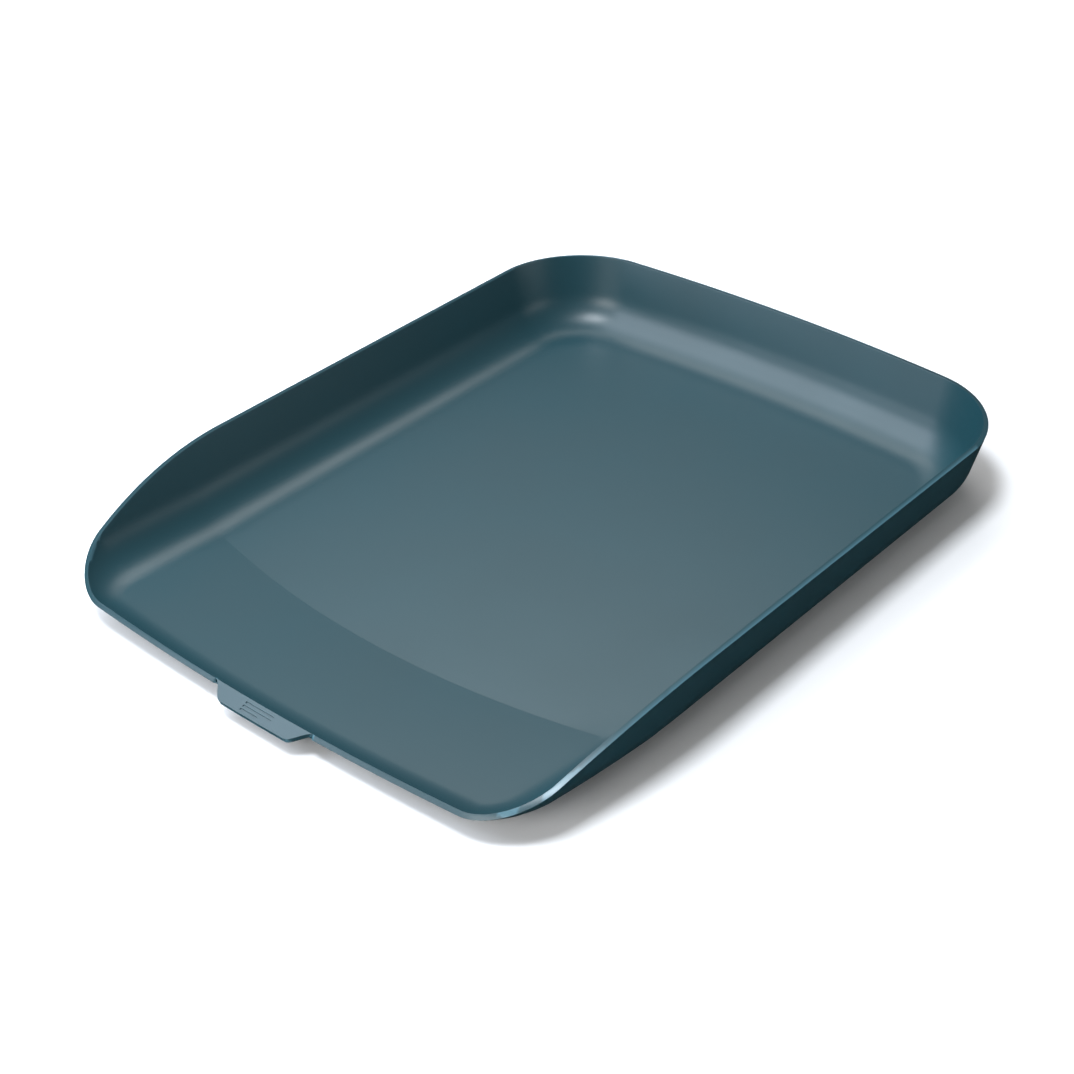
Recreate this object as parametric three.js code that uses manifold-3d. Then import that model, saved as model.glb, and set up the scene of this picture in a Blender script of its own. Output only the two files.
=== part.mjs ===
// Letter tray: one moulded open tray with a lowered front, a finger tab and four anti-slip feet.
// Millimetres, +Z up, +Y towards the back wall, Z = 0 on the underside of the feet.
import * as THREE from 'three';
import { mergeVertices } from 'three/addons/utils/BufferGeometryUtils.js';
import Module from 'manifold-3d';

const wasm = await Module();
wasm.setup();

// outline of the rim, seen from above
const width = 265, length = 350;
const backBow = 8.8, frontBow = 4.2;
const backCornerR = 43, frontCornerR = 24;

// heights, measured from the top of the floor
const wall = 2.2;
const rimHeight = 33.3;
const slopeStart = -71;
const slopeDrop = 26;
const narrowPerDrop = 0.52;

// wall section: an arc up from the floor, then straight at the wall angle
const coveRadius = 20.5, wallAngle = 76;

// front ramp, rising from a bowed crease to the lip
const rampRise = 5.8;
const creaseEnd = -99, creaseSag = 14;

// finger tab on the lip
const tabReach = 7.4, tabRoot = 26.5, tabTip = 16, tabLean = 20, tabThick = 1.8;
const markDepth = 0.3, markWidth = 0.8, markPitch = 1.7, markBars = [9, 15, 15];

// anti-slip feet, set in shallow recesses
const footR = 6, footStand = 1.2, footSink = 0.5, footGap = 0.3;
const footX = 86, footBack = 120, footFront = -80;

const floorTop = wall + footStand;
const halfWidth = width / 2, halfLength = length / 2;
const clamp = THREE.MathUtils.clamp;
const rad = THREE.MathUtils.degToRad;

// the rim as a plan curve, right half, from back centre to front centre

const dropAt = (y) => slopeDrop * clamp((slopeStart - y) / (slopeStart + halfLength), 0, 1) ** 2;
const bowAt = (x, bow) => bow * (x / halfWidth) ** 2;

function rimHalf() {
  const points = [];
  const backEdge = halfWidth - backCornerR, frontEdge = halfWidth - frontCornerR;
  const backAt = (x) => halfLength - bowAt(x, backBow);
  const frontAt = (x) => -halfLength + bowAt(x, frontBow);
  const backY = backAt(halfWidth) - backCornerR, frontY = frontAt(halfWidth) + frontCornerR;
  const corner = (edge, radius, a) => [edge + radius * Math.cos(rad(a)), radius * (1 - Math.sin(rad(a)))];
  const span = (from, to, steps, place) => {
    for (let i = 0; i < steps; i++) points.push(place(from + (to - from) * i / steps));
  };
  span(0, backEdge, 6, (x) => [x, backAt(x)]);
  span(90, 0, 10, (a) => {
    const [x, inset] = corner(backEdge, backCornerR, a);
    return [x, backAt(x) - inset];
  });
  span(backY, slopeStart, 5, (y) => [halfWidth, y]);
  span(slopeStart, creaseEnd, 3, (y) => [halfWidth, y]);
  const creaseIndex = points.length;
  span(creaseEnd, frontY, 5, (y) => [halfWidth, y]);
  span(0, 90, 9, (a) => {
    const [x, inset] = corner(frontEdge, frontCornerR, a);
    return [x, frontAt(x) + inset];
  });
  span(frontEdge, 0, 7, (x) => [x, frontAt(x)]);
  points.push([0, -halfLength]);
  // the tray narrows as its rim comes down
  for (const p of points) p[0] *= 1 - narrowPerDrop * dropAt(p[1]) / halfWidth;
  return { points, creaseIndex };
}

const { points: half, creaseIndex } = rimHalf();
const rim = [...half, ...half.slice(1, -1).reverse().map(([x, y]) => [-x, y])];
const count = rim.length;

// outward direction of the rim at each station
const outward = rim.map((p, i) => {
  const before = rim[(i + count - 1) % count], after = rim[(i + 1) % count];
  const along = [after[0] - before[0], after[1] - before[1]];
  const size = Math.hypot(...along);
  return [-along[1] / size, along[0] / size];
});

// the wall section

const lean = rad(wallAngle);
const arcLength = coveRadius * lean;
const arcRun = coveRadius * Math.sin(lean), arcRise = coveRadius * (1 - Math.cos(lean));

// place and tilt at a length along the section, measured from the floor
function sectionAt(s) {
  const tilt = Math.min(s / coveRadius, lean), rest = Math.max(s - arcLength, 0);
  return {
    tilt,
    run: coveRadius * Math.sin(tilt) + rest * Math.cos(lean),
    rise: coveRadius * (1 - Math.cos(tilt)) + rest * Math.sin(lean),
  };
}

const sectionLength = (height) => height < arcRise
  ? coveRadius * Math.acos(1 - height / coveRadius)
  : arcLength + (height - arcRise) / Math.sin(lean);

const crease = { x: halfWidth - arcRun, y: creaseEnd };
const creaseAt = (x) => crease.y - creaseSag * (1 - (x / crease.x) ** 2);
const lipAt = (x) => -halfLength + bowAt(x, frontBow);
function rampAt(x, y) {
  return rampRise * clamp((creaseAt(x) - y) / (creaseAt(x) - lipAt(x)), 0, 1);
}

// one station: the section's foot on the floor, its tip at the rim, its length and direction
function stationAt(i) {
  const [x, y] = rim[i], [nx, ny] = outward[i];
  const tip = [x - nx * wall, y - ny * wall];
  const reach = sectionLength(rimHeight - dropAt(y) - rampAt(...tip));
  const { run } = sectionAt(reach);
  return { foot: [tip[0] - nx * run, tip[1] - ny * run], tip, reach, run, nx, ny };
}

// the crease starts where the floor meets the side section
for (let pass = 0; pass < 5; pass++) [crease.x, crease.y] = stationAt(creaseIndex).foot;
const stations = rim.map((_, i) => stationAt(i));

// beside the ramp, the line of feet closes in steadily towards the lip
for (let i = creaseIndex + 1; i < half.length - 1; i++) {
  const { foot } = stations[i];
  foot[0] = Math.min(foot[0], stations[i - 1].foot[0] - 0.1);
  stations[count - i].foot = [-foot[0], foot[1]];
}

// closed mesh of the moulding

const vertices = [], triangles = [];
const vertex = (x, y, z) => vertices.push([x, y, z + floorTop]) - 1;

const sectionSteps = 9, edgeSteps = 4;

// the section of one station at a length from its foot
function placeAt({ foot, tip, run: fullRun }, length) {
  const { tilt, run, rise } = sectionAt(length);
  const part = run / fullRun;
  const x = foot[0] + (tip[0] - foot[0]) * part, y = foot[1] + (tip[1] - foot[1]) * part;
  return { tilt, x, y, z: rampAt(x, y) + rise };
}

// ring of vertices at fraction v of the section, on the inner (0) or outer (1) face
function wallRing(v, face) {
  return stations.map((station) => {
    const { tilt, x, y, z } = placeAt(station, v * station.reach);
    const side = face * wall * Math.sin(tilt), down = face * wall * Math.cos(tilt);
    return vertex(x + station.nx * side, y + station.ny * side, z - down);
  });
}

// ring on the rounded edge, from the inner face (turn 0) to the outer face (turn 180)
function edgeRing(turn) {
  const across = wall / 2 * (1 - Math.cos(rad(turn))), along = wall / 2 * Math.sin(rad(turn));
  return stations.map((station) => {
    const { tilt, x, y, z } = placeAt(station, station.reach);
    const side = across * Math.sin(tilt) + along * Math.cos(tilt);
    const up = along * Math.sin(tilt) - across * Math.cos(tilt);
    return vertex(x + station.nx * side, y + station.ny * side, z + up);
  });
}

function strip(a, b, closed = true) {
  const last = closed ? a.length : a.length - 1;
  for (let i = 0; i < last; i++) {
    const j = (i + 1) % a.length;
    if (a[i] !== b[i]) triangles.push([a[i], b[i], a[j]]);
    if (a[j] !== b[j]) triangles.push([a[j], b[i], b[j]]);
  }
}

const rings = [];
for (let k = 0; k <= sectionSteps; k++) rings.push(wallRing(k / sectionSteps, 0));
for (let k = 1; k < edgeSteps; k++) rings.push(edgeRing(180 * k / edgeSteps));
for (let k = sectionSteps; k >= 0; k--) rings.push(wallRing(k / sectionSteps, 1));
for (let k = 1; k < rings.length; k++) strip(rings[k], rings[k - 1]);

// floor and ramp inside a section ring: the flat floor is one polygon, the ramp runs in rows
function fillInside(ring, drop, facesUp) {
  const start = triangles.length;
  const front = ring.slice(creaseIndex, count - creaseIndex + 1), last = front.length - 1;
  const creaseLine = front.map((index, j) => {
    const x = vertices[front[0]][0] * (1 - 2 * j / last);
    return j === 0 || j === last ? index : vertex(x, creaseAt(x), -drop);
  });
  const rows = 4;
  let previous = creaseLine;
  for (let r = 1; r <= rows; r++) {
    const row = front.map((index, j) => {
      if (r === rows || j === 0 || j === last) return index;
      const [x0, y0] = vertices[creaseLine[j]], [x1, y1] = vertices[index];
      const x = x0 + (x1 - x0) * r / rows, y = y0 + (y1 - y0) * r / rows;
      return vertex(x, y, rampAt(x, y) - drop);
    });
    strip(row, previous, false);
    previous = row;
  }
  const loop = [...ring.slice(count - creaseIndex), ...ring.slice(0, creaseIndex),
    ...creaseLine.slice(0, -1)];
  const flat = loop.map((i) => new THREE.Vector2(vertices[i][0], vertices[i][1]));
  for (const [a, b, c] of THREE.ShapeUtils.triangulateShape(flat, [])) {
    const area = (flat[b].x - flat[a].x) * (flat[c].y - flat[a].y)
      - (flat[c].x - flat[a].x) * (flat[b].y - flat[a].y);
    triangles.push(area > 0 ? [loop[a], loop[b], loop[c]] : [loop[a], loop[c], loop[b]]);
  }
  if (!facesUp) for (let i = start; i < triangles.length; i++) triangles[i].reverse();
}
fillInside(rings[0], 0, true);
fillInside(rings[rings.length - 1], wall, false);

// solids

function solidFrom(geometry) {
  const bare = geometry.clone();
  bare.deleteAttribute('normal');
  bare.deleteAttribute('uv');
  const merged = mergeVertices(bare, 1e-4);
  return new wasm.Manifold(new wasm.Mesh({
    numProp: 3,
    vertProperties: new Float32Array(merged.attributes.position.array),
    triVerts: new Uint32Array(merged.index.array),
  }));
}

function geometryFrom(solid) {
  const mesh = solid.getMesh();
  const geometry = new THREE.BufferGeometry();
  geometry.setAttribute('position', new THREE.BufferAttribute(mesh.vertProperties, 3));
  geometry.setIndex(new THREE.BufferAttribute(mesh.triVerts, 1));
  geometry.computeVertexNormals();
  return geometry;
}

const tray = new THREE.BufferGeometry();
tray.setAttribute('position', new THREE.BufferAttribute(new Float32Array(vertices.flat()), 3));
tray.setIndex(triangles.flat());

// finger tab: rounded plate, leaning down and forwards from the top of the lip
const tabShape = new THREE.Shape();
tabShape.moveTo(tabRoot + 1.5, 0.5);
tabShape.lineTo(tabRoot + 1.5, 0);
tabShape.quadraticCurveTo(tabRoot - 1.5, 0, tabRoot - 3, -1.8);
tabShape.lineTo(tabRoot - 4.5, -3.6);
tabShape.quadraticCurveTo(tabTip + 4, -tabReach, tabTip, -tabReach);
tabShape.lineTo(-tabTip, -tabReach);
tabShape.quadraticCurveTo(-tabTip - 4, -tabReach, 4.5 - tabRoot, -3.6);
tabShape.lineTo(3 - tabRoot, -1.8);
tabShape.quadraticCurveTo(1.5 - tabRoot, 0, -tabRoot - 1.5, 0);
tabShape.lineTo(-tabRoot - 1.5, 0.5);
tabShape.closePath();
const tabPlate = new THREE.ExtrudeGeometry(
  tabShape, { depth: tabThick, bevelEnabled: false, curveSegments: 5 });
tabPlate.translate(0, 0, -tabThick);
let tab = solidFrom(tabPlate);

// three bars pressed into the tab, level at their left ends
markBars.forEach((bar, i) => {
  const mark = new THREE.BoxGeometry(bar, markWidth, 2 * markDepth);
  mark.translate((bar - Math.max(...markBars)) / 2, (i - 1) * markPitch - tabReach / 2 - 0.4, 0);
  tab = tab.subtract(solidFrom(mark));
});

const lipTilt = sectionAt(stations[half.length - 1].reach).tilt;
const lipTop = floorTop + rimHeight - slopeDrop + wall / 2 * (1 - Math.cos(lipTilt));
const tabGeometry = geometryFrom(tab);
tabGeometry.rotateX(rad(tabLean));
tabGeometry.translate(0, -halfLength + wall / 2, lipTop - 0.5);

let shell = solidFrom(tray).add(solidFrom(tabGeometry));
const feet = [['front_left', -1, footFront], ['front_right', 1, footFront],
  ['back_left', -1, footBack], ['back_right', 1, footBack]];
const recess = footSink + footGap;
for (const [, side, y] of feet) {
  const hole = new THREE.CylinderGeometry(footR + footGap, footR + footGap, 2 * recess, 32);
  hole.rotateX(Math.PI / 2);
  hole.translate(side * footX, y, footStand);
  shell = shell.subtract(solidFrom(hole));
}

// named parts

const plastic = new THREE.MeshStandardMaterial({ color: 0x557079, roughness: 0.5, metalness: 0 });
plastic.name = 'tray_plastic';
const rubber = new THREE.MeshStandardMaterial({ color: 0x2b2d2f, roughness: 0.85, metalness: 0 });
rubber.name = 'foot_rubber';

const letterTray = new THREE.Group();
letterTray.name = 'letter_tray';
const shellMesh = new THREE.Mesh(geometryFrom(shell), plastic);
shellMesh.name = 'tray_shell';
letterTray.add(shellMesh);

// each foot is a disc with a small chamfer round the sole
const footHeight = footStand + footSink, chamfer = 0.4;
const footProfile = [[0, 0], [footR - chamfer, 0], [footR, chamfer], [footR, footHeight], [0, footHeight]]
  .map(([r, z]) => new THREE.Vector2(r, z));
for (const [place, side, y] of feet) {
  const foot = new THREE.Mesh(new THREE.LatheGeometry(footProfile, 32).rotateX(Math.PI / 2), rubber);
  foot.geometry.translate(side * footX, y, 0);
  foot.name = `foot_${place}`;
  letterTray.add(foot);
}

// centre the whole tray, tab included, on the origin
const box = new THREE.Box3().setFromObject(letterTray);
const middle = box.getCenter(new THREE.Vector3());
for (const mesh of letterTray.children) mesh.geometry.translate(-middle.x, -middle.y, 0);

export default letterTray;
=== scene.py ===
# Letter tray: a satin moulded tray with a lowered front, a finger tab and four rubber feet.
import math
import bmesh
import bpy
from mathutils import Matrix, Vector


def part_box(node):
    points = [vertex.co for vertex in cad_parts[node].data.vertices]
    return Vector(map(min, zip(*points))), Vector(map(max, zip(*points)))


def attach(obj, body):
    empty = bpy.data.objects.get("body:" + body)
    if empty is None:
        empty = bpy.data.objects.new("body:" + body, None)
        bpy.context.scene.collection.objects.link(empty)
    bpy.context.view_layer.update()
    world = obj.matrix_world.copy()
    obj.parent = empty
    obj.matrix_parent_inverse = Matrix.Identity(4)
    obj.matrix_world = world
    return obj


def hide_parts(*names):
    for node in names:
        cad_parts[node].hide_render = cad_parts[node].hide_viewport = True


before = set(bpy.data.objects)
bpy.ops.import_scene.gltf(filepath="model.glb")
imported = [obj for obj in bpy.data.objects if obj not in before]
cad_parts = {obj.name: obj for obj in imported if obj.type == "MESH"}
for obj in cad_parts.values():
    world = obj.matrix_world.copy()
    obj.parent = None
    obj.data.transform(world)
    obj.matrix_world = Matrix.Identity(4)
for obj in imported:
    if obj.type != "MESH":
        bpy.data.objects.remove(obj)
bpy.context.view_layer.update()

mm = 0.001


def linearColour(hexText):
    channels = [int(hexText[i:i + 2], 16) / 255 for i in (1, 3, 5)]
    return [c / 12.92 if c <= 0.04045 else ((c + 0.055) / 1.055) ** 2.4 for c in channels] + [1.0]


def addNode(tree, kind, settings=None, links=None):
    node = tree.nodes.new(kind)
    for name, value in (settings or {}).items():
        if name in node.inputs:
            node.inputs[name].default_value = value
        else:
            setattr(node, name, value)
    for name, source in (links or {}).items():
        tree.links.new(source, node.inputs[name])
    return node


def onlySelect(obj):
    if bpy.context.mode != "OBJECT":
        bpy.ops.object.mode_set(mode="OBJECT")
    bpy.ops.object.select_all(action="DESELECT")
    obj.select_set(True)
    bpy.context.view_layer.objects.active = obj


def applyModifier(obj, kind, settings):
    onlySelect(obj)
    modifier = obj.modifiers.new(kind.title(), kind)
    for name, value in settings.items():
        setattr(modifier, name, value)
    bpy.ops.object.modifier_apply(modifier=modifier.name)


def joined(objects, name):
    onlySelect(objects[0])
    for obj in objects:
        obj.select_set(True)
    bpy.ops.object.join()
    objects[0].name = name
    return objects[0]


tray = {
    "width": 265, "length": 350, "wall": 2.2,
    "backBow": 8.8, "frontBow": 4.2, "backCorner": 43, "frontCorner": 24,
    "rimHeight": 33.3, "slopeStart": -71, "slopeDrop": 26, "narrowing": 0.52,
    "coveRadius": 20.5, "wallAngle": math.radians(76),
    "rampRise": 5.8, "creaseEnd": -99, "creaseSag": 14,
    "floorTop": 3.4, "sectionRings": 22, "rampRows": 10, "supportRing": 1.5,
    "steps": {"back": 16, "backCorner": 26, "side": 20, "slope": 8, "ramp": 16, "frontCorner": 24},
    "lipStretches": [(32, 18), (15, 20), (0, 6)],  # each ends at this x, and is finest beside the tab
    "bevel": 0.46, "bevelSegments": 5, "smoothAngle": math.radians(28),
}
tab = {
    "reach": 7.2, "rootHalf": 26.8, "tipHalf": 17.4, "lean": math.radians(20), "rings": 8,
    "bars": [9, 15, 15], "barWidth": 0.8, "barPitch": 1.7, "barDepth": 0.35,
    "firstBar": 5.4,  # the front bar's distance from the top of the lip
}
halfWidth, halfLength = tray["width"] / 2, tray["length"] / 2
shellLow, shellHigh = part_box("tray_shell")
planShift = shellHigh.y / mm - halfLength  # the tab moves the middle of the whole off the middle of the rim
crease = {"x": 104.0, "y": tray["creaseEnd"]}


def dropAt(y):
    part = (tray["slopeStart"] - y) / (tray["slopeStart"] + halfLength)
    return tray["slopeDrop"] * min(max(part, 0), 1) ** 2


def backAt(x):
    return halfLength - tray["backBow"] * (x / halfWidth) ** 2


def frontAt(x):
    return -halfLength + tray["frontBow"] * (x / halfWidth) ** 2


def creaseAt(x):
    return crease["y"] - tray["creaseSag"] * (1 - (x / crease["x"]) ** 2)


def rampAt(x, y):
    part = (creaseAt(x) - y) / (creaseAt(x) - frontAt(x))
    return tray["rampRise"] * min(max(part, 0), 1)


def spread(start, end, steps):
    return [start + (end - start) * i / steps for i in range(steps)]


def rimPoints():
    # right half from back to front, then its mirror image; also where the ramp's crease meets the side
    steps = tray["steps"]
    backEdge, frontEdge = halfWidth - tray["backCorner"], halfWidth - tray["frontCorner"]
    sideBack = backAt(halfWidth) - tray["backCorner"]
    sideFront = frontAt(halfWidth) + tray["frontCorner"]
    points = [(x, backAt(x)) for x in spread(0, backEdge, steps["back"])]
    for a in spread(math.pi / 2, 0, steps["backCorner"]):
        x = backEdge + tray["backCorner"] * math.cos(a)
        points.append((x, backAt(x) - tray["backCorner"] * (1 - math.sin(a))))
    points += [(halfWidth, y) for y in spread(sideBack, tray["slopeStart"], steps["side"])]
    points += [(halfWidth, y) for y in spread(tray["slopeStart"], tray["creaseEnd"], steps["slope"])]
    creaseIndex = len(points)
    points += [(halfWidth, y) for y in spread(tray["creaseEnd"], sideFront, steps["ramp"])]
    for a in spread(0, math.pi / 2, steps["frontCorner"]):
        x = frontEdge + tray["frontCorner"] * math.cos(a)
        points.append((x, frontAt(x) + tray["frontCorner"] * (1 - math.sin(a))))
    start = frontEdge
    for end, count in tray["lipStretches"]:
        points += [(x, frontAt(x)) for x in spread(start, end, count)]
        start = end
    points.append((0, frontAt(0)))
    half = [(x * (1 - tray["narrowing"] * dropAt(y) / halfWidth), y) for x, y in points]
    return half + [(-x, y) for x, y in half[-2:0:-1]], creaseIndex


def sectionAt(length):
    radius, lean = tray["coveRadius"], tray["wallAngle"]
    if length <= 0:
        return length, 0.0
    tilt, rest = min(length / radius, lean), max(length - radius * lean, 0)
    return (radius * math.sin(tilt) + rest * math.cos(lean),
            radius * (1 - math.cos(tilt)) + rest * math.sin(lean))


def sectionLength(height):
    radius, lean = tray["coveRadius"], tray["wallAngle"]
    arcRise = radius * (1 - math.cos(lean))
    if height < arcRise:
        return radius * math.acos(1 - height / radius)
    return radius * lean + (height - arcRise) / math.sin(lean)


def stationAt(rim, i):
    (x0, y0), (x1, y1), (x, y) = rim[i - 1], rim[(i + 1) % len(rim)], rim[i]
    size = math.hypot(x1 - x0, y1 - y0)
    nx, ny = -(y1 - y0) / size, (x1 - x0) / size
    tipX, tipY = x - nx * tray["wall"], y - ny * tray["wall"]
    reach = sectionLength(tray["rimHeight"] - dropAt(y) - rampAt(tipX, tipY))
    run = sectionAt(reach)[0]
    return {"tip": (tipX, tipY), "foot": (tipX - nx * run, tipY - ny * run), "reach": reach, "run": run}


def keepNarrowing(places, creaseIndex):
    # beside the ramp the line closes in steadily towards the lip, the same on both sides
    for i in range(creaseIndex + 1, len(places) // 2):
        places[i] = (min(places[i][0], places[i - 1][0] - 0.02), places[i][1])
        places[-i] = (-places[i][0], places[i][1])
    return places


def pointOn(sheet, x, y, z):
    return sheet.verts.new((x * mm, (y + planShift) * mm, (z + tray["floorTop"]) * mm))


def addWalls(sheet, stations, creaseIndex):
    # rings from just inside the cove up to the top of the rim
    count = len(stations)
    feetLine = keepNarrowing([s["foot"] for s in stations], creaseIndex)

    def placesAt(length):
        places = []
        for s, (x, y) in zip(stations, feetLine):
            part = sectionAt(length(s))[0] / s["run"]
            places.append((x + (s["tip"][0] - x) * part, y + (s["tip"][1] - y) * part))
        return places

    def ringAt(length):
        return [pointOn(sheet, x, y, sectionAt(length(s))[1] + rampAt(x, y))
                for s, (x, y) in zip(stations, placesAt(length))]

    support = keepNarrowing(placesAt(lambda s: -tray["supportRing"]), creaseIndex)
    rings = [[pointOn(sheet, x, y, rampAt(x, y)) for x, y in support]]
    for k in range(tray["sectionRings"] + 1):
        rings.append(ringAt(lambda s: s["reach"] * k / tray["sectionRings"]))
    rings.append(ringAt(lambda s: s["reach"] + tray["wall"] / 2))  # room for the rounded edge
    for inner, outer in zip(rings, rings[1:]):
        for i in range(count):
            sheet.faces.new((inner[i], inner[(i + 1) % count], outer[(i + 1) % count], outer[i]))
    return rings[0], rings[-1]


def addFloorAndRamp(sheet, inside, creaseIndex):
    # the floor is one flat face behind the crease, and the ramp runs in rows from crease to lip
    count = len(inside)
    front = [inside[creaseIndex + j] for j in range(count - 2 * creaseIndex + 1)]
    steps = len(front) - 1
    creaseLine = [front[0]]
    for j in range(1, steps):
        x = front[0].co.x / mm * (1 - 2 * j / steps)
        creaseLine.append(pointOn(sheet, x, creaseAt(x), 0))
    creaseLine.append(front[-1])
    previous = creaseLine
    for r in range(1, tray["rampRows"] + 1):
        row = [front[0]]
        for start, end in zip(creaseLine[1:-1], front[1:-1]):
            place = start.co.lerp(end.co, r / tray["rampRows"]) / mm
            x, y = place.x, place.y - planShift
            last = r == tray["rampRows"]
            row.append(end if last else pointOn(sheet, x, y, rampAt(x, y)))
        row.append(front[-1])
        for j in range(steps):
            corners = [previous[j], previous[j + 1], row[j + 1], row[j]]
            sheet.faces.new([v for n, v in enumerate(corners) if v not in corners[:n]])
        previous = row
    behind = inside[count - creaseIndex:] + inside[:creaseIndex]
    sheet.faces.new(behind + creaseLine[:-1])


def pullTab(sheet, edge, creaseIndex):
    # the tab is pulled out of the middle of the lip
    ahead = range(creaseIndex, len(edge) - creaseIndex)
    pulled = [i for i in ahead if abs(edge[i].co.x) < tab["rootHalf"] * mm]
    previous = {i: edge[i] for i in pulled}
    for r in range(1, tab["rings"] + 1):
        row = {}
        for i in pulled:
            side = (tab["rootHalf"] - abs(edge[i].co.x) / mm) / (tab["rootHalf"] - tab["tipHalf"])
            side = min(max(side, 0), 1)
            out = tab["reach"] * side * side * (3 - 2 * side) * r / tab["rings"]
            row[i] = sheet.verts.new(edge[i].co + Vector((0, -out * math.cos(tab["lean"]) * mm,
                                                          -out * math.sin(tab["lean"]) * mm)))
        for i, j in zip(pulled, pulled[1:]):
            sheet.faces.new((previous[i], previous[j], row[j], row[i]))
        previous = row


def makeTraySheet():
    # the face that holds the paper, as one open sheet: floor, ramp, curved walls, lip and tab
    rim, creaseIndex = rimPoints()
    for step in range(5):  # the crease starts where the floor meets the side section
        crease["x"], crease["y"] = stationAt(rim, creaseIndex)["foot"]
    stations = [stationAt(rim, i) for i in range(len(rim))]
    sheet = bmesh.new()
    inside, edge = addWalls(sheet, stations, creaseIndex)
    addFloorAndRamp(sheet, inside, creaseIndex)
    pullTab(sheet, edge, creaseIndex)
    bmesh.ops.remove_doubles(sheet, verts=sheet.verts, dist=0.00002)
    bmesh.ops.recalc_face_normals(sheet, faces=sheet.faces)
    floorFace = max(sheet.faces, key=lambda f: f.calc_area())
    if floorFace.normal.z < 0:
        bmesh.ops.reverse_faces(sheet, faces=sheet.faces)
    mesh = bpy.data.meshes.new("trayMoulding")
    sheet.to_mesh(mesh)
    sheet.free()
    moulding = bpy.data.objects.new("trayMoulding", mesh)
    bpy.context.collection.objects.link(moulding)
    return moulding


def roundRim(moulding):
    # the two edges of the rim and tab: where a wall face meets the narrow face left by the thickness
    onlySelect(moulding)
    bpy.ops.object.mode_set(mode="EDIT")
    bpy.ops.mesh.select_mode(type="EDGE")
    bpy.ops.mesh.select_all(action="DESELECT")
    bpy.ops.mesh.edges_select_sharp(sharpness=math.radians(60))
    bpy.ops.mesh.bevel(offset=tray["wall"] * tray["bevel"] * mm, segments=tray["bevelSegments"], profile=0.5,
                       clamp_overlap=True)
    bpy.ops.object.mode_set(mode="OBJECT")


def cutFrom(body, cutter):
    applyModifier(body, "BOOLEAN", {"operation": "DIFFERENCE", "object": cutter, "solver": "EXACT"})
    bpy.data.objects.remove(cutter)


def cylinderAt(x, y, low, high, radius, vertices=64):
    bpy.ops.mesh.primitive_cylinder_add(vertices=vertices, radius=radius * mm, depth=(high - low) * mm,
                                        location=(x * mm, y * mm, (low + high) / 2 * mm))
    return bpy.context.object


under = {
    "recessRadius": 6.3, "recessDepth": 0.8, "gateRadius": 4, "gateDepth": 0.3,
    "pinRadius": 3.5, "pinDepth": 0.12,
    "pins": [(-60, 90), (60, 90), (-60, -40), (60, -40), (0, 120), (0, -70)],
}
footNames = ["foot_front_left", "foot_front_right", "foot_back_left", "foot_back_right"]


def footCentre(name):
    low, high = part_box(name)
    return (low.x + high.x) / 2 / mm, (low.y + high.y) / 2 / mm


def makeTray():
    moulding = makeTraySheet()
    applyModifier(moulding, "SOLIDIFY", {"thickness": tray["wall"] * mm, "offset": -1})
    roundRim(moulding)
    bottom = tray["floorTop"] - tray["wall"]
    cutters = []
    for name in footNames:
        x, y = footCentre(name)
        cutters.append(cylinderAt(x, y, bottom - 1, bottom + under["recessDepth"], under["recessRadius"]))
    cutters.append(cylinderAt(0, 0, bottom - 1, bottom + under["gateDepth"], under["gateRadius"], 48))
    for x, y in under["pins"]:  # faint witness marks where the mould's pins pushed the tray out
        cutters.append(cylinderAt(x, y, bottom - 1, bottom + under["pinDepth"], under["pinRadius"], 40))
    cutFrom(moulding, joined(cutters, "underCutter"))
    return moulding


def markTab(moulding):
    # three short bars pressed into the tab, level at their left ends
    lipPoint = max((v.co for v in moulding.data.vertices
                    if abs(v.co.x) < 2 * mm and v.co.y < shellLow.y + 9 * mm), key=lambda co: co.z)
    bars = []
    for n, length in enumerate(tab["bars"]):
        along = (tab["firstBar"] - n * tab["barPitch"]) * mm
        bpy.ops.mesh.primitive_cube_add(size=1)
        bar = bpy.context.object
        bar.scale = (length * mm, tab["barWidth"] * mm, 2 * tab["barDepth"] * mm)
        bar.rotation_euler = (tab["lean"], 0, 0)
        bar.location = ((length - max(tab["bars"])) / 2 * mm,
                        lipPoint.y - along * math.cos(tab["lean"]),
                        lipPoint.z - along * math.sin(tab["lean"]))
        bpy.ops.object.transform_apply(location=True, rotation=True, scale=True)
        bars.append(bar)
    cutFrom(moulding, joined(bars, "barCutter"))


def smoothTray(moulding):
    onlySelect(moulding)
    bpy.ops.object.shade_smooth_by_angle(angle=tray["smoothAngle"])
    topLevel, bottomLevel = tray["floorTop"], tray["floorTop"] - tray["wall"]
    nearLine, nearLevel = 0.3, 0.05
    for e in moulding.data.edges:  # the crease stays crisp although its angle is small
        ends = [moulding.data.vertices[v].co / mm for v in e.vertices]
        along = all(abs(p.y - planShift - creaseAt(p.x)) < nearLine and abs(p.x) < crease["x"] for p in ends)
        flat = all(min(abs(p.z - topLevel), abs(p.z - bottomLevel)) < nearLevel for p in ends)
        if along and flat and abs(ends[0].x - ends[1].x) > nearLevel:
            e.use_edge_sharp = True


moulding = makeTray()
markTab(moulding)
smoothTray(moulding)
print("tray moulding made,", len(moulding.data.polygons), "faces")

foot = {"radius": 6, "height": 1.7, "edge": 0.35, "grooves": [4.4, 2.6], "grooveWidth": 0.5}


def ringCutter(x, y, radius):
    bpy.ops.mesh.primitive_torus_add(major_segments=64, minor_segments=10, major_radius=radius * mm,
                                     minor_radius=foot["grooveWidth"] / 2 * mm, location=(x * mm, y * mm, 0))
    return bpy.context.object


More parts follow.
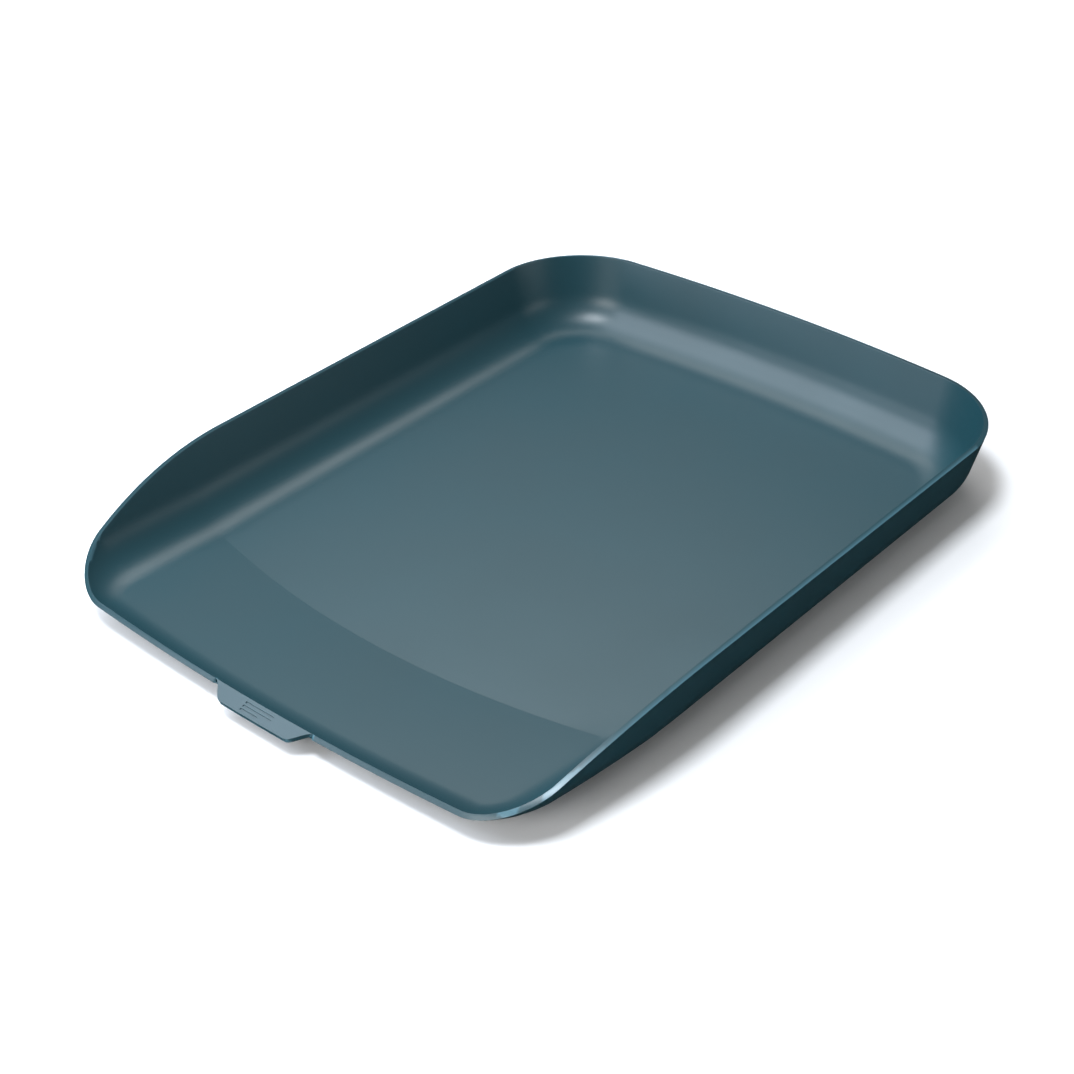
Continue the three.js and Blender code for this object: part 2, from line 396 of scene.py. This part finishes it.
def makeFoot(name):
    x, y = footCentre(name)
    pad = cylinderAt(x, y, 0, foot["height"], foot["radius"], 96)
    pad.name = name.replace("foot", "rubberFoot")
    onlySelect(pad)
    bpy.ops.object.mode_set(mode="EDIT")
    bpy.ops.mesh.select_all(action="DESELECT")
    bpy.ops.mesh.select_mode(type="EDGE")
    bpy.ops.mesh.edges_select_sharp(sharpness=math.radians(60))
    bpy.ops.mesh.bevel(offset=foot["edge"] * mm, segments=4, profile=0.5)
    bpy.ops.object.mode_set(mode="OBJECT")
    bpy.ops.object.transform_apply(location=True, rotation=True, scale=True)
    cutFrom(pad, joined([ringCutter(x, y, radius) for radius in foot["grooves"]], "grooveCutter"))
    onlySelect(pad)
    bpy.ops.object.shade_smooth_by_angle(angle=math.radians(35))
    return pad


feet = {name: makeFoot(name) for name in footNames}
print("feet made")

# satin moulded ABS, mass coloured petrol: spark-eroded tool finish, soft sheen, no clear reflections
absColour = {
    "base": "#143C45", "darker": "#12363E", "roughness": 0.38, "roughnessSpread": 0.04,
    # edge: a paler colour painted on the rim's rounded edge as a painted highlight; edgeRoughness is its
    # real, slightly polished finish
    "edge": "#3F6470", "edgeRoughness": 0.34, "grain": 0.6, "cloud": 60,
}
# moulded thermoplastic rubber: dead matt, slightly dusty grey
rubberColour = {"base": "#2A2C2E", "dust": "#3A3B3C", "roughness": 0.8, "grain": 0.35, "dustPatch": 5}


def satinAbs():
    material = bpy.data.materials.new("satinMouldedAbs")
    material.use_nodes = True
    tree = material.node_tree
    shader = tree.nodes["Principled BSDF"]
    place = addNode(tree, "ShaderNodeTexCoord")
    cloud = addNode(tree, "ShaderNodeTexNoise", {"Scale": 1000 / absColour["cloud"], "Detail": 3.0},
                    {"Vector": place.outputs["Object"]})  # slow pigment drift, 60 mm across
    grain = addNode(tree, "ShaderNodeTexNoise", {"Scale": 1000 / absColour["grain"], "Detail": 2.0,
                                                 "Roughness": 0.6}, {"Vector": place.outputs["Object"]})
    # the real grain is about 0.1 mm; it is drawn at 0.6 mm so that it shows
    pigment = addNode(tree, "ShaderNodeMix", {"data_type": "RGBA"})
    pigment.inputs[6].default_value = linearColour(absColour["base"])
    pigment.inputs[7].default_value = linearColour(absColour["darker"])
    tree.links.new(cloud.outputs["Fac"], pigment.inputs[0])
    # the rim's rounded edge is painted paler, a painted highlight, and is a little polished (lower
    # roughness); pointiness is 0.5 on a flat face, more on a ridge
    shape = addNode(tree, "ShaderNodeNewGeometry")
    height = addNode(tree, "ShaderNodeSeparateXYZ", None, {"Vector": place.outputs["Object"]})
    aboveFloor = addNode(tree, "ShaderNodeMapRange", {"From Min": 0.004, "From Max": 0.006},
                         {"Value": height.outputs["Z"]})
    edge = addNode(tree, "ShaderNodeMapRange", {"From Min": 0.54, "From Max": 0.62},
                   {"Value": shape.outputs["Pointiness"], "To Max": aboveFloor.outputs["Result"]})
    edgeHighlightTint = addNode(tree, "ShaderNodeMix", {"data_type": "RGBA"})
    edgeHighlightTint.inputs[7].default_value = linearColour(absColour["edge"])
    tree.links.new(edge.outputs["Result"], edgeHighlightTint.inputs[0])
    tree.links.new(pigment.outputs[2], edgeHighlightTint.inputs[6])
    tree.links.new(edgeHighlightTint.outputs[2], shader.inputs["Base Color"])
    low = absColour["roughness"] - absColour["roughnessSpread"]
    high = absColour["roughness"] + absColour["roughnessSpread"]
    sheen = addNode(tree, "ShaderNodeMapRange", {"To Min": low, "To Max": high},
                    {"Value": cloud.outputs["Fac"]})
    polish = addNode(tree, "ShaderNodeMapRange", {"To Max": absColour["edgeRoughness"]},
                     {"Value": edge.outputs["Result"], "To Min": sheen.outputs["Result"]})
    tree.links.new(polish.outputs["Result"], shader.inputs["Roughness"])
    bump = addNode(tree, "ShaderNodeBump", {"Strength": 0.05, "Distance": 0.0001},
                   {"Height": grain.outputs["Fac"]})
    tree.links.new(bump.outputs["Normal"], shader.inputs["Normal"])
    shader.inputs["IOR"].default_value = 1.54
    return material


def mouldedRubber():
    material = bpy.data.materials.new("mouldedRubber")
    material.use_nodes = True
    tree = material.node_tree
    shader = tree.nodes["Principled BSDF"]
    place = addNode(tree, "ShaderNodeTexCoord")
    grain = addNode(tree, "ShaderNodeTexNoise", {"Scale": 1000 / rubberColour["grain"], "Detail": 3.0},
                    {"Vector": place.outputs["Object"]})
    dust = addNode(tree, "ShaderNodeTexNoise", {"Scale": 1000 / rubberColour["dustPatch"], "Detail": 4.0},
                   {"Vector": place.outputs["Object"]})
    tone = addNode(tree, "ShaderNodeMix", {"data_type": "RGBA"})
    tone.inputs[6].default_value = linearColour(rubberColour["base"])
    tone.inputs[7].default_value = linearColour(rubberColour["dust"])
    tree.links.new(dust.outputs["Fac"], tone.inputs[0])
    tree.links.new(tone.outputs[2], shader.inputs["Base Color"])
    bump = addNode(tree, "ShaderNodeBump", {"Strength": 0.3, "Distance": 0.0001},
                   {"Height": grain.outputs["Fac"]})
    tree.links.new(bump.outputs["Normal"], shader.inputs["Normal"])
    shader.inputs["Roughness"].default_value = rubberColour["roughness"]
    shader.inputs["IOR"].default_value = 1.5
    return material


moulding.data.materials.clear()
moulding.data.materials.append(satinAbs())
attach(moulding, "root")
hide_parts("tray_shell")
rubber = mouldedRubber()
for name, pad in feet.items():
    pad.data.materials.clear()
    pad.data.materials.append(rubber)
    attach(pad, "root")
    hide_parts(name)
print("materials set")

camera = {"azimuth": 40.0, "elevation": 34.22, "distance": 0.888, "target": (0.0060, -0.0157, 0.0110),
          "lens": 69.74}
softboxes = {
    "frontKey": {"at": (0.05, -1.28, 0.60), "size": (0.7, 0.45), "power": 9.5, "colour": "#FFFFFF"},
    "leftStrip": {"at": (-0.80, -0.90, 0.90), "size": (0.6, 0.6), "power": 8.5, "colour": "#EBF3FF"},
    "leftMiddle": {"at": (-0.80, -0.50, 1.17), "size": (0.6, 0.6), "power": 5, "colour": "#EBF3FF"},
    "leftHigh": {"at": (-0.80, -0.05, 1.27), "size": (0.6, 0.6), "power": 6, "colour": "#EBF3FF"},
    "leftLow": {"at": (-0.79, -1.27, 0.16), "size": (0.5, 0.25), "power": 4, "colour": "#EBF3FF"},
    "cornerSpot": {"at": (-0.02, -0.43, 1.41), "size": (0.38, 0.38), "power": 18, "colour": "#F2F8FF"},
    "backHigh": {"at": (-0.6, 0.68, 1.2), "size": (0.8, 0.6), "power": 6.5, "colour": "#FFFFFF"},
    "rightFill": {"at": (1.35, 0.45, 0.30), "size": (0.9, 0.5), "power": 3.2, "colour": "#FFFFFF"},
}


def directionTo(azimuth, elevation):
    a, e = math.radians(azimuth), math.radians(elevation)
    return Vector((math.sin(a) * math.cos(e), -math.cos(a) * math.cos(e), math.sin(e)))


def makeCamera():
    data = bpy.data.cameras.new("trayCamera")
    data.lens, data.sensor_width = camera["lens"], 36
    data.clip_start, data.clip_end = 0.01, 50
    view = bpy.data.objects.new("trayCamera", data)
    back = directionTo(camera["azimuth"], camera["elevation"])
    view.location = Vector(camera["target"]) + back * camera["distance"]
    view.rotation_euler = back.to_track_quat("Z", "Y").to_euler()
    bpy.context.collection.objects.link(view)
    bpy.context.scene.camera = view


def makeSoftbox(name, box):
    data = bpy.data.lights.new(name, "AREA")
    data.shape, data.energy = "RECTANGLE", box["power"]
    data.size, data.size_y = box["size"]
    data.color = linearColour(box["colour"])[:3]
    light = bpy.data.objects.new(name, data)
    light.location = box["at"]
    light.rotation_euler = (Vector(box["at"]) - Vector((0, 0, 0.02))).to_track_quat("Z", "Y").to_euler()
    bpy.context.collection.objects.link(light)


def makeFloor():
    bpy.ops.mesh.primitive_plane_add(size=8, location=(0, 0, 0))
    floor = bpy.context.object
    floor.name = "studioFloor"
    material = bpy.data.materials.new("paintedStudioFloor")
    material.use_nodes = True
    shader = material.node_tree.nodes["Principled BSDF"]
    shader.inputs["Base Color"].default_value = linearColour("#F7F7F7")
    shader.inputs["Roughness"].default_value = 0.9
    floor.data.materials.append(material)
    floor.visible_glossy = False  # the tray's dark side stays dark


def makeWorld():
    # pale room above, dim below
    world = bpy.data.worlds.new("studioRoom")
    bpy.context.scene.world = world
    world.use_nodes = True
    tree = world.node_tree
    background = tree.nodes["Background"]
    place = addNode(tree, "ShaderNodeTexCoord")
    height = addNode(tree, "ShaderNodeSeparateXYZ", None, {"Vector": place.outputs["Generated"]})
    fade = addNode(tree, "ShaderNodeMapRange",
                   {"From Min": -0.1, "From Max": 0.2, "To Min": 0.01, "To Max": 0.2},
                   {"Value": height.outputs["Z"]})
    tree.links.new(fade.outputs["Result"], background.inputs["Strength"])
    background.inputs["Color"].default_value = (1, 1, 1, 1)


makeCamera()
for name, box in softboxes.items():
    makeSoftbox(name, box)
makeFloor()
makeWorld()
bpy.context.scene.view_settings.view_transform = "Standard"
print("studio set")
